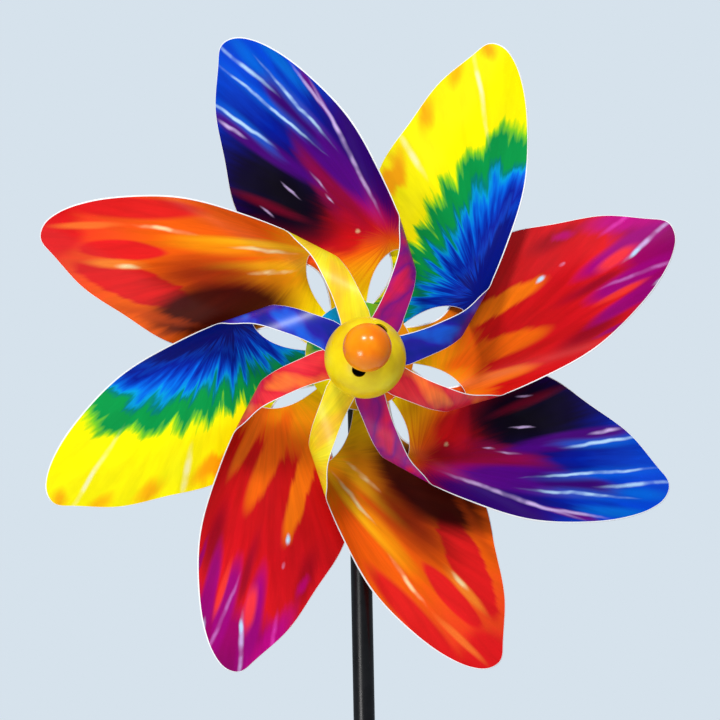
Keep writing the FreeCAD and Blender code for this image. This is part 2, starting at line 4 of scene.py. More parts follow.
import bpy
import numpy as np
from mathutils import Matrix, Vector
from mathutils.geometry import delaunay_2d_cdt


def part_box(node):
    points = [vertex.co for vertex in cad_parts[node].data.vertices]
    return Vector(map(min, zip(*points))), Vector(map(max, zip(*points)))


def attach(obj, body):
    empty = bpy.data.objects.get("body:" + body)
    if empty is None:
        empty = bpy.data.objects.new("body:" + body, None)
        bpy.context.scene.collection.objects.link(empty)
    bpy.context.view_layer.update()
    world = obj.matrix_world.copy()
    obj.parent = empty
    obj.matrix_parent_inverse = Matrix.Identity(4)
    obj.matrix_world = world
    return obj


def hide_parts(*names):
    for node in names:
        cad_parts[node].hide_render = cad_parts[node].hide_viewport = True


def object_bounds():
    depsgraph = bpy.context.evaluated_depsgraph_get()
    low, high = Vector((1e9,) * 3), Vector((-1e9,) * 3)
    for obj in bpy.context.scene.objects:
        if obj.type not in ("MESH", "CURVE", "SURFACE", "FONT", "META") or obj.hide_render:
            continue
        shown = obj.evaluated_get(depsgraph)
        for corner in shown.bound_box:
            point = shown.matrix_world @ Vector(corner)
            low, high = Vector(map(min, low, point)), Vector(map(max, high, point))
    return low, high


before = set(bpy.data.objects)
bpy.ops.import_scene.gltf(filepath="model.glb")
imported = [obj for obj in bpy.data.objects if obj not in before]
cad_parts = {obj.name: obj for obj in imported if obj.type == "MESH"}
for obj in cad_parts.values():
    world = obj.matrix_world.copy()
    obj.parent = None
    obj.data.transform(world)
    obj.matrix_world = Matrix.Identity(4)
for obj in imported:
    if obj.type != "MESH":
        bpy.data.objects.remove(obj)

cad_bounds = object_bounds()
MM = 0.001

# ---------------------------------------------------------------- the wheel's measures

hub_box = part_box("hub_tube")
HUB = (hub_box[0] + hub_box[1]) / 2
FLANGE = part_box("rear_flange")
THICKNESS = 0.5 * MM
# the shown sheets are a little thinner, so that stacked ones don't touch
SHOWN_THICKNESS = 0.42 * MM
# the rear flange's front face carries the four stacked blades; the arms end ahead of it
STACK_FRONT = FLANGE[0].y - 4 * THICKNESS
ARMS_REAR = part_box("front_flange")[1].y + 8 * THICKNESS
DISC = 40 * MM
EYE = 7.15 * MM
EYELET = 12 * MM
PETAL_TIP = 250 * MM
TRAILING_WIDTH = 55 * MM
FOLD = 56.6 * MM
FOLD_INNER = 51.5 * MM
FOLD_OUTER = 92 * MM
SWEEP_START = 11 * MM
SWEEP_RADIUS = 35 * MM
SWEEP_ANGLE = math.radians(14)
BAY_FOOT = math.radians(25)
ARM_TURN = math.radians(43.5)
ARM_OUTER_OFFSET = 6.9 * MM
ARM_INNER_OFFSET = 15 * MM
ARM_MOUTH = 30.4 * MM
ROOT_DROP = 10.45 * MM
# the first petal's angle and each petal's own small turn from an even spacing, in degrees
SET_ANGLE = 105.9
PETAL_STEP = 45
PETAL_SET = [0.3, -1.4, -0.4, -1.2, 1.1, 0.5, 2.1, 1.1]
BLADES = {"blade_front": (1, 5), "blade_second": (0, 4), "blade_third": (3, 7), "blade_rear": (2, 6)}

# the outline of a petal, in shares of its own measures
TRAILING_FORM = [(0.06, 0.16), (0.12, 0.185), (0.20, 0.46), (0.31, 0.86), (0.45, 1.0),
                 (0.60, 0.945), (0.785, 0.855), (0.94, 0.63)]
TIP_FORM = [(2.4, 29.0), (0.0, 20.5), (4.0, 8.6)]
LEADING_FORM = [(0.085, 0.064), (0.29, 0.492), (0.51, 0.785), (0.78, 0.940), (0.92, 0.985)]
ARM_OUTER_FORM = [(0.05, 0.993), (0.12, 0.962), (0.36, 0.869), (0.60, 0.689), (0.80, 0.507)]
ARM_INNER_FORM = [(0.07, 0.994), (0.16, 0.970), (0.37, 0.892), (0.62, 0.766)]
BAY_FORM = [(1.17, 0.985), (1.28, 0.89), (1.257, 0.73), (1.135, 0.56), (0.919, 0.40)]

# width of the unprinted white border along each stretch of the outline
BORDER = {"trailing": 0.40 * MM, "tip": 0.8 * MM, "leading": 1.05 * MM, "arm_outer": 0.45 * MM,
          "arm_inner": 0.25 * MM, "bay": 0.3 * MM, "disc": 0.25 * MM}
# the border is as wide as at the tip this far back from it
TIP_ZONE = 12 * MM

# mesh spacing inside a sheet, along its edge, and the least gap between the two in grid steps
GRID = 3.2 * MM
EDGE_STEP = 2.0 * MM
BORDER_GAP, HOLE_GAP = 0.55, 0.5
CAP_POINTS, HOLE_POINTS = 19, 40
# a blade's material slots: one for each petal, then the ring round the hub and the white border
RING_SLOT, WHITE_SLOT = 2, 3


# ---------------------------------------------------------------- outlines

def spline(points, step):
    """Points at even steps along a natural cubic spline through the given points."""
    points = np.array(points, float)
    knots = np.concatenate([[0], np.cumsum(np.linalg.norm(np.diff(points, axis=0), axis=1))])
    gaps = np.diff(knots)
    count = len(points)
    system = np.eye(count)
    sides = np.zeros((count, 2))
    for i in range(1, count - 1):
        system[i, i - 1: i + 2] = gaps[i - 1], 2 * (gaps[i - 1] + gaps[i]), gaps[i]
        rise = (points[i + 1] - points[i]) / gaps[i] - (points[i] - points[i - 1]) / gaps[i - 1]
        sides[i] = 6 * rise
    bend = np.linalg.solve(system, sides)
    places = np.linspace(0, knots[-1], max(3, int(knots[-1] / step) + 1))
    spans = np.clip(np.searchsorted(knots, places, side="right") - 1, 0, count - 2)
    gap = gaps[spans][:, None]
    right = (places - knots[spans])[:, None]
    left = gap - right
    start, end = points[spans], points[spans + 1]
    start_bend, end_bend = bend[spans], bend[spans + 1]
    curve = (start_bend * left ** 3 + end_bend * right ** 3) / (6 * gap)
    curve += (start / gap - start_bend * gap / 6) * left + (end / gap - end_bend * gap / 6) * right
    return curve


def blend(start, end, share):
    """The value a share of the way from start to end."""
    return start + share * (end - start)


class Petal:
    """One petal: its own frame, its roll, and the map between flat sheet and wheel."""

    def __init__(self, index, level):
        self.index = index
        self.turn = math.radians(SET_ANGLE - PETAL_STEP * index + PETAL_SET[index])
        self.root_y = STACK_FRONT + (level + 0.5) * THICKNESS
        arm_y = ARMS_REAR - (index + 0.5) * THICKNESS
        self.roll = (self.root_y - arm_y) / 2
        self.roll_start = FOLD - self.roll
        self.out = np.array([math.cos(self.turn), math.sin(self.turn)])
        self.clockwise = np.array([math.sin(self.turn), -math.cos(self.turn)])

    def to_plane(self, flat):
        """Petal coordinates to the wheel's plane (x right, z up)."""
        flat = np.asarray(flat)
        return flat[..., :1] * self.out + flat[..., 1:2] * self.clockwise

    def to_petal(self, plane):
        """The wheel's plane to petal coordinates."""
        plane = np.asarray(plane)
        return np.stack([plane @ self.out, plane @ self.clockwise], axis=-1)

    def unrolled(self, seen, ahead):
        """Distance along the sheet for a distance across the petal seen from the front."""
        lean = np.arcsin(np.clip((seen - self.roll_start) / self.roll, -1, 1))
        if ahead:
            past = np.maximum(self.roll_start - seen, 0)
            return self.roll_start + self.roll * (math.pi - np.maximum(lean, 0)) + past
        sweep = np.clip((-seen - SWEEP_START) / SWEEP_RADIUS, 0, math.sin(SWEEP_ANGLE))
        arc = np.arcsin(sweep)
        rest = np.maximum(-seen - SWEEP_START - SWEEP_RADIUS * math.sin(SWEEP_ANGLE), 0)
        swept = -SWEEP_START - SWEEP_RADIUS * arc - rest / math.cos(SWEEP_ANGLE)
        flat = np.where(seen < -SWEEP_START, swept, seen)
        return np.where(seen > self.roll_start, self.roll_start + self.roll * lean, flat)

    def rolled(self, along):
        """Distance across the petal and distance ahead of the root, for distances along the sheet."""
        turn = np.clip((along - self.roll_start) / self.roll, 0, math.pi)
        past = np.maximum(along - self.roll_start - math.pi * self.roll, 0)
        across = np.minimum(along, self.roll_start) + self.roll * np.sin(turn) - past
        ahead = self.roll * (1 - np.cos(turn))
        back = np.clip((-along - SWEEP_START) / SWEEP_RADIUS, 0, SWEEP_ANGLE)
        rest = np.maximum(-along - SWEEP_START - SWEEP_RADIUS * SWEEP_ANGLE, 0)
        swept = -SWEEP_START - SWEEP_RADIUS * np.sin(back) - rest * math.cos(SWEEP_ANGLE)
        across = np.where(along < -SWEEP_START, swept, across)
        drop = SWEEP_RADIUS * (1 - np.cos(back)) + rest * math.sin(SWEEP_ANGLE)
        return across, ahead - drop

    def outline(self):
        """The petal's flat outline from its root on the disc round to its foot: points and borders."""
        root = (math.sqrt(DISC ** 2 - ROOT_DROP ** 2), -ROOT_DROP)
        trailing = [root] + [(blend(DISC, PETAL_TIP, a), -b * TRAILING_WIDTH) for a, b in TRAILING_FORM]
        tip = [(PETAL_TIP - a * MM, -b * MM) for a, b in TIP_FORM]
        leading = [(blend(PETAL_TIP, FOLD_OUTER, a), b * FOLD) for a, b in LEADING_FORM]
        edge = spline(trailing + tip + leading + [(FOLD_OUTER, FOLD)], EDGE_STEP)
        widths = np.full(len(edge), BORDER["leading"])
        before_tip = edge[:, 1] < -TIP_FORM[0][1] * MM
        widths[before_tip] = BORDER["trailing"]
        widths[~before_tip & (edge[:, 0] > PETAL_TIP - TIP_ZONE)] = BORDER["tip"]
        edge[:, 1] = self.unrolled(edge[:, 1], False)

        inward = np.array([math.cos(ARM_TURN), math.sin(ARM_TURN)])
        aside = np.array([math.sin(ARM_TURN), -math.cos(ARM_TURN)])
        outer_near = inward * ARM_MOUTH + aside * ARM_OUTER_OFFSET
        inner_near = inward * ARM_MOUTH - aside * ARM_INNER_OFFSET
        outer = [(FOLD_OUTER, FOLD)]
        outer += [(blend(FOLD_OUTER, outer_near[0], a), b * FOLD) for a, b in ARM_OUTER_FORM]
        outer = spline(outer + [outer_near], EDGE_STEP)
        inner = [(FOLD_INNER, FOLD)]
        inner += [(blend(FOLD_INNER, inner_near[0], a), b * FOLD) for a, b in ARM_INNER_FORM]
        inner = spline(inner + [inner_near], EDGE_STEP)[::-1]
        start = math.atan2(aside[1], aside[0])
        cap_turns = start - np.linspace(0, math.pi, CAP_POINTS)
        cap = EYELET * np.stack([np.cos(cap_turns), np.sin(cap_turns)], axis=1)
        arm = np.vstack([outer[1:], cap, inner])
        arm_widths = np.full(len(arm), BORDER["arm_inner"])
        arm_widths[:len(outer)] = BORDER["arm_outer"]
        arm[:, 1] = self.unrolled(arm[:, 1], True)

        bay = [(FOLD_INNER, FOLD)] + [(a * FOLD_INNER, b * FOLD) for a, b in BAY_FORM]
        bay = spline(bay + [(DISC * math.cos(BAY_FOOT), DISC * math.sin(BAY_FOOT))], EDGE_STEP)[1:]
        bay[:, 1] = self.unrolled(bay[:, 1], False)
        points = np.vstack([edge, arm, bay])
        borders = np.concatenate([widths, arm_widths, np.full(len(bay), BORDER["bay"])])
        return points, borders

    def eyelet_centre(self):
        """The flat place of the arm's eyelet."""
        return np.array([0.0, self.roll_start + math.pi * self.roll + self.roll_start])


def inside(points, ring):
    """Which points lie inside a closed ring."""
    result = np.zeros(len(points), bool)
    following = np.roll(ring, -1, axis=0)
    for (ax, ay), (bx, by) in zip(ring, following):
        if ay == by:
            continue
        crosses = (ay > points[:, 1]) != (by > points[:, 1])
        result ^= crosses & (points[:, 0] < (bx - ax) * (points[:, 1] - ay) / (by - ay) + ax)
    return result


def nearest(points, ring):
    """Distance of each point from the nearest corner of a ring."""
    best = np.full(len(points), 1e9)
    for chunk in np.array_split(ring, max(1, len(ring) // 64)):
        gaps = np.linalg.norm(points[:, None, :] - chunk[None, :, :], axis=2)
        best = np.minimum(best, gaps.min(axis=1))
    return best


def shrunk(ring, widths):
    """A ring moved inwards by a width at each point; the ring runs clockwise seen from the front."""
    tangent = np.roll(ring, -1, axis=0) - np.roll(ring, 1, axis=0)
    tangent /= np.linalg.norm(tangent, axis=1)[:, None]
    normal = np.stack([tangent[:, 1], -tangent[:, 0]], axis=1)
    smooth = sum(np.roll(widths, shift) for shift in range(-3, 4)) / 7
    return ring + normal * smooth[:, None]


def blade_ring(pair):
    """The whole flat outline of a double-ended blade, with the border's width at each point."""
    points, borders = [], []
    for petal, other in (pair, pair[::-1]):
        flat, widths = petal.outline()
        points.append(petal.to_plane(flat))
        borders.append(widths)
        foot = petal.turn - BAY_FOOT
        root_angle = other.turn + math.asin(ROOT_DROP / DISC)
        sweep = (foot - root_angle) % (2 * math.pi)
        turns = foot - np.linspace(0, sweep, int(sweep * DISC / EDGE_STEP))[1:-1]
        points.append(DISC * np.stack([np.cos(turns), np.sin(turns)], axis=1))
        borders.append(np.full(len(turns), BORDER["disc"]))
    return np.vstack(points), np.concatenate(borders)


def circle(centre, radius):
    """Points round a circle."""
    turns = np.linspace(0, 2 * math.pi, HOLE_POINTS, endpoint=False)
    return centre + radius * np.stack([np.cos(turns), np.sin(turns)], axis=1)


def member(plane, pair):
    """Which petal each point of the flat blade belongs to: 0 or 1, or -1 for the disc."""
    result = np.full(len(plane), -1)
    for number, petal in enumerate(pair):
        flat = petal.to_petal(plane)
        # generous boxes: the leaf starts at the disc, the arm lies past the fold
        leaf = (flat[:, 0] > 0.75 * DISC) & (np.abs(flat[:, 1]) < 2.6 * TRAILING_WIDTH)
        arm = (flat[:, 1] > 1.1 * FOLD) & (flat[:, 0] > -1.4 * EYELET)
        result[leaf | arm] = number
    result[np.linalg.norm(plane, axis=1) < DISC + 0.01 * MM] = -1
    return result


def blade_object(name, level):
    """A printed sheet blade: flat pattern cut, gridded and rolled into place; its thickness is added after.
    """
    pair = [Petal(index, level) for index in BLADES[name]]
    ring, widths = blade_ring(pair)
    border = shrunk(ring, widths)
    holes = [circle(np.zeros(2), EYE)]
    holes += [circle(petal.to_plane(petal.eyelet_centre()), EYE) for petal in pair]
    reach = PETAL_TIP + GRID
    ticks = np.arange(-reach, reach, GRID)
    gx, gy = np.meshgrid(ticks, ticks)
    # every other row is shifted by half a step, for even triangles
    gx[1::2] += GRID / 2
    # grid rows run along the first petal's roll
    grid = pair[0].to_plane(np.stack([gx.ravel(), gy.ravel()], axis=1))
    grid = grid[inside(grid, border)]
    grid = grid[nearest(grid, border) > BORDER_GAP * GRID]
    for hole in holes:
        grid = grid[~inside(grid, hole)]
        grid = grid[nearest(grid, hole) > HOLE_GAP * GRID]
    loops = [ring, border] + holes
    points = np.vstack(loops + [grid])
    edges, start = [], 0
    for loop in loops:
        count = len(loop)
        edges += [(start + i, start + (i + 1) % count) for i in range(count)]
        start += count
    # the triangulation works in millimetres
    scale = 1 / MM
    cut = delaunay_2d_cdt([Vector(p * scale) for p in points], edges, [], 0, 1e-5)
    plane = np.array([v[:] for v in cut[0]]) / scale
    faces = np.array(cut[2])
    centres = plane[faces].mean(axis=1)
    keep = inside(centres, ring)
    for hole in holes:
        keep &= ~inside(centres, hole)
    faces, centres = faces[keep], centres[keep]
    white = ~inside(centres, border)
    # the two petals' places in the wheel
    owner = member(plane, pair)
    place = np.zeros((len(plane), 3))
    place[:, 0], place[:, 2] = plane[:, 0], plane[:, 1]
    place[:, 1] = pair[0].root_y
    print_at = np.zeros((len(plane), 2, 2))
    for number, petal in enumerate(pair):
        flat = petal.to_petal(plane)
        print_at[:, number] = flat / PETAL_TIP
        mine = owner == number
        across, ahead = petal.rolled(flat[mine, 1])
        seen = petal.to_plane(np.stack([flat[mine, 0], across], axis=1))
        place[mine, 0], place[mine, 2] = seen[:, 0], seen[:, 1]
        place[mine, 1] = petal.root_y - ahead
    place += np.array([HUB.x, 0, HUB.z])
    mesh = bpy.data.meshes.new(name + "_sheet")
    mesh.from_pydata(place.tolist(), [], faces.tolist())
    face_owner = member(centres, pair)
    in_disc = face_owner < 0
    side = np.clip(face_owner, 0, 1)
    face_owner[in_disc] = RING_SLOT
    face_owner[white] = WHITE_SLOT
    mesh.polygons.foreach_set("material_index", face_owner.astype(np.int32))
    mesh.polygons.foreach_set("use_smooth", np.ones(len(faces), bool))
    layer = mesh.uv_layers.new(name="print")
    corners = np.zeros(len(mesh.loops), np.int32)
    mesh.loops.foreach_get("vertex_index", corners)
    loop_face = np.repeat(np.arange(len(faces)), 3)
    uv = print_at[corners, side[loop_face]]
    uv[in_disc[loop_face]] = (plane[corners] / PETAL_TIP)[in_disc[loop_face]]
    layer.data.foreach_set("uv", uv.astype(np.float32).ravel())
    mesh.update()
    piece = bpy.data.objects.new(name + "_print", mesh)
    bpy.context.scene.collection.objects.link(piece)
    return piece, pair


# ---------------------------------------------------------------- node helpers

def colour(red, green, blue):
    """A display colour (0 to 255) as linear light."""
    def linear(value):
        value /= 255
        return value / 12.92 if value <= 0.04045 else ((value + 0.055) / 1.055) ** 2.4
    return linear(red), linear(green), linear(blue), 1.0


class Nodes:
    """Short calls for building a shader."""

    def __init__(self, name):
        self.material = bpy.data.materials.new(name)
        self.material.use_nodes = True
        self.tree = self.material.node_tree
        self.shader = self.tree.nodes["Principled BSDF"]

    def put(self, socket, value):
        if isinstance(value, bpy.types.NodeSocket):
            self.tree.links.new(value, socket)
        elif value is not None:
            socket.default_value = value

    def math(self, operation, a, b=None):
        node = self.tree.nodes.new("ShaderNodeMath")
        node.operation = operation
        self.put(node.inputs[0], a)
        self.put(node.inputs[1], b)
        return node.outputs[0]

    def vector_math(self, operation, a, b=None, scale=None):
        node = self.tree.nodes.new("ShaderNodeVectorMath")
        node.operation = operation
        self.put(node.inputs[0], a)
        self.put(node.inputs[1], b)
        self.put(node.inputs[3], scale)
        return node.outputs["Value" if operation in ("LENGTH", "DISTANCE", "DOT_PRODUCT") else "Vector"]

    def split(self, vector):
        node = self.tree.nodes.new("ShaderNodeSeparateXYZ")
        self.put(node.inputs[0], vector)
        return node.outputs[0], node.outputs[1], node.outputs[2]

    def vector(self, x, y, z=0.0):
        node = self.tree.nodes.new("ShaderNodeCombineXYZ")
        for socket, value in zip(node.inputs, (x, y, z)):
            self.put(socket, value)
        return node.outputs[0]

    def step(self, value, low, high, start=0.0, end=1.0):
        """From start below low to end above high, smooth between."""
        node = self.tree.nodes.new("ShaderNodeMapRange")
        node.interpolation_type = "SMOOTHSTEP"
        self.put(node.inputs["Value"], value)
        node.inputs["From Min"].default_value = low
        node.inputs["From Max"].default_value = high
        node.inputs["To Min"].default_value = start
        node.inputs["To Max"].default_value = end
        return node.outputs["Result"]

    def noise(self, vector, scale, detail=2.0, rough=0.5):
        node = self.tree.nodes.new("ShaderNodeTexNoise")
        self.put(node.inputs["Vector"], vector)
        node.inputs["Scale"].default_value = scale
        node.inputs["Detail"].default_value = detail
        node.inputs["Roughness"].default_value = rough
        return node.outputs["Fac"]

    def ramp(self, value, stops):
        node = self.tree.nodes.new("ShaderNodeValToRGB")
        self.put(node.inputs["Fac"], value)
        elements = node.color_ramp.elements
        while len(elements) < len(stops):
            elements.new(0.5)
        for element, (place, shade) in zip(elements, stops):
            element.position = place
            element.color = shade
        return node.outputs["Color"]

    def mix(self, share, a, b, blend="MIX"):
        node = self.tree.nodes.new("ShaderNodeMix")
        node.data_type = "RGBA"
        node.blend_type = blend
        self.put(node.inputs[0], share)
        self.put(node.inputs[6], a)
        self.put(node.inputs[7], b)
        return node.outputs[2]

    def ellipse(self, vector, start, end, half_width, soft):
        """1 inside a long ellipse from start to end, fading to 0 across its edge."""
        run = Vector(end) - Vector(start)
        node = self.tree.nodes.new("ShaderNodeMapping")
        node.vector_type = "TEXTURE"
        self.put(node.inputs["Vector"], vector)
        middle = (Vector(start) + Vector(end)) / 2
        node.inputs["Location"].default_value = (middle.x, middle.y, 0)
        node.inputs["Rotation"].default_value = (0, 0, math.atan2(run.y, run.x))
        node.inputs["Scale"].default_value = (max(run.length / 2, half_width), half_width, 1)
        reach = self.vector_math("LENGTH", node.outputs[0])
        return self.step(reach, 1 - soft, 1 + soft, 1.0, 0.0)

    def bump(self, height, strength, distance):
        node = self.tree.nodes.new("ShaderNodeBump")
        node.inputs["Strength"].default_value = strength
        node.inputs["Distance"].default_value = distance
        self.put(node.inputs["Height"], height)
        self.tree.links.new(node.outputs[0], self.shader.inputs["Normal"])

    def surface(self, base, roughness, metallic=0.0, coat=None, specular=0.5):
        self.put(self.shader.inputs["Base Color"], base)
        self.put(self.shader.inputs["Roughness"], roughness)
        self.shader.inputs["Metallic"].default_value = metallic
        self.put(self.shader.inputs["Coat Weight"], coat)
        self.shader.inputs["Coat Roughness"].default_value = 0.34
        self.shader.inputs["Specular IOR Level"].default_value = specular
        return self.material


# ---------------------------------------------------------------- the print on the sheets

YELLOW, AMBER, ORANGE = colour(255, 244, 0), colour(250, 156, 6), colour(240, 92, 8)
RED, DEEP_RED, MAGENTA = colour(204, 12, 20), colour(140, 6, 14), colour(186, 0, 112)
PURPLE, INDIGO, NAVY = colour(76, 0, 124), colour(20, 2, 112), colour(8, 0, 40)
BLUE, BRIGHT_BLUE, CYAN = colour(0, 24, 146), colour(0, 68, 208), colour(0, 156, 222)
GREEN, LIME, TEAL = colour(6, 150, 70), colour(122, 204, 36), colour(0, 128, 120)
LILAC, ICE, CREAM = colour(218, 190, 245), colour(190, 226, 255), colour(255, 250, 190)
# dark brown of the zone by an orange petal's trailing root: dye, and painted shade
DYE_AND_SHADE_BROWN = colour(58, 3, 1)

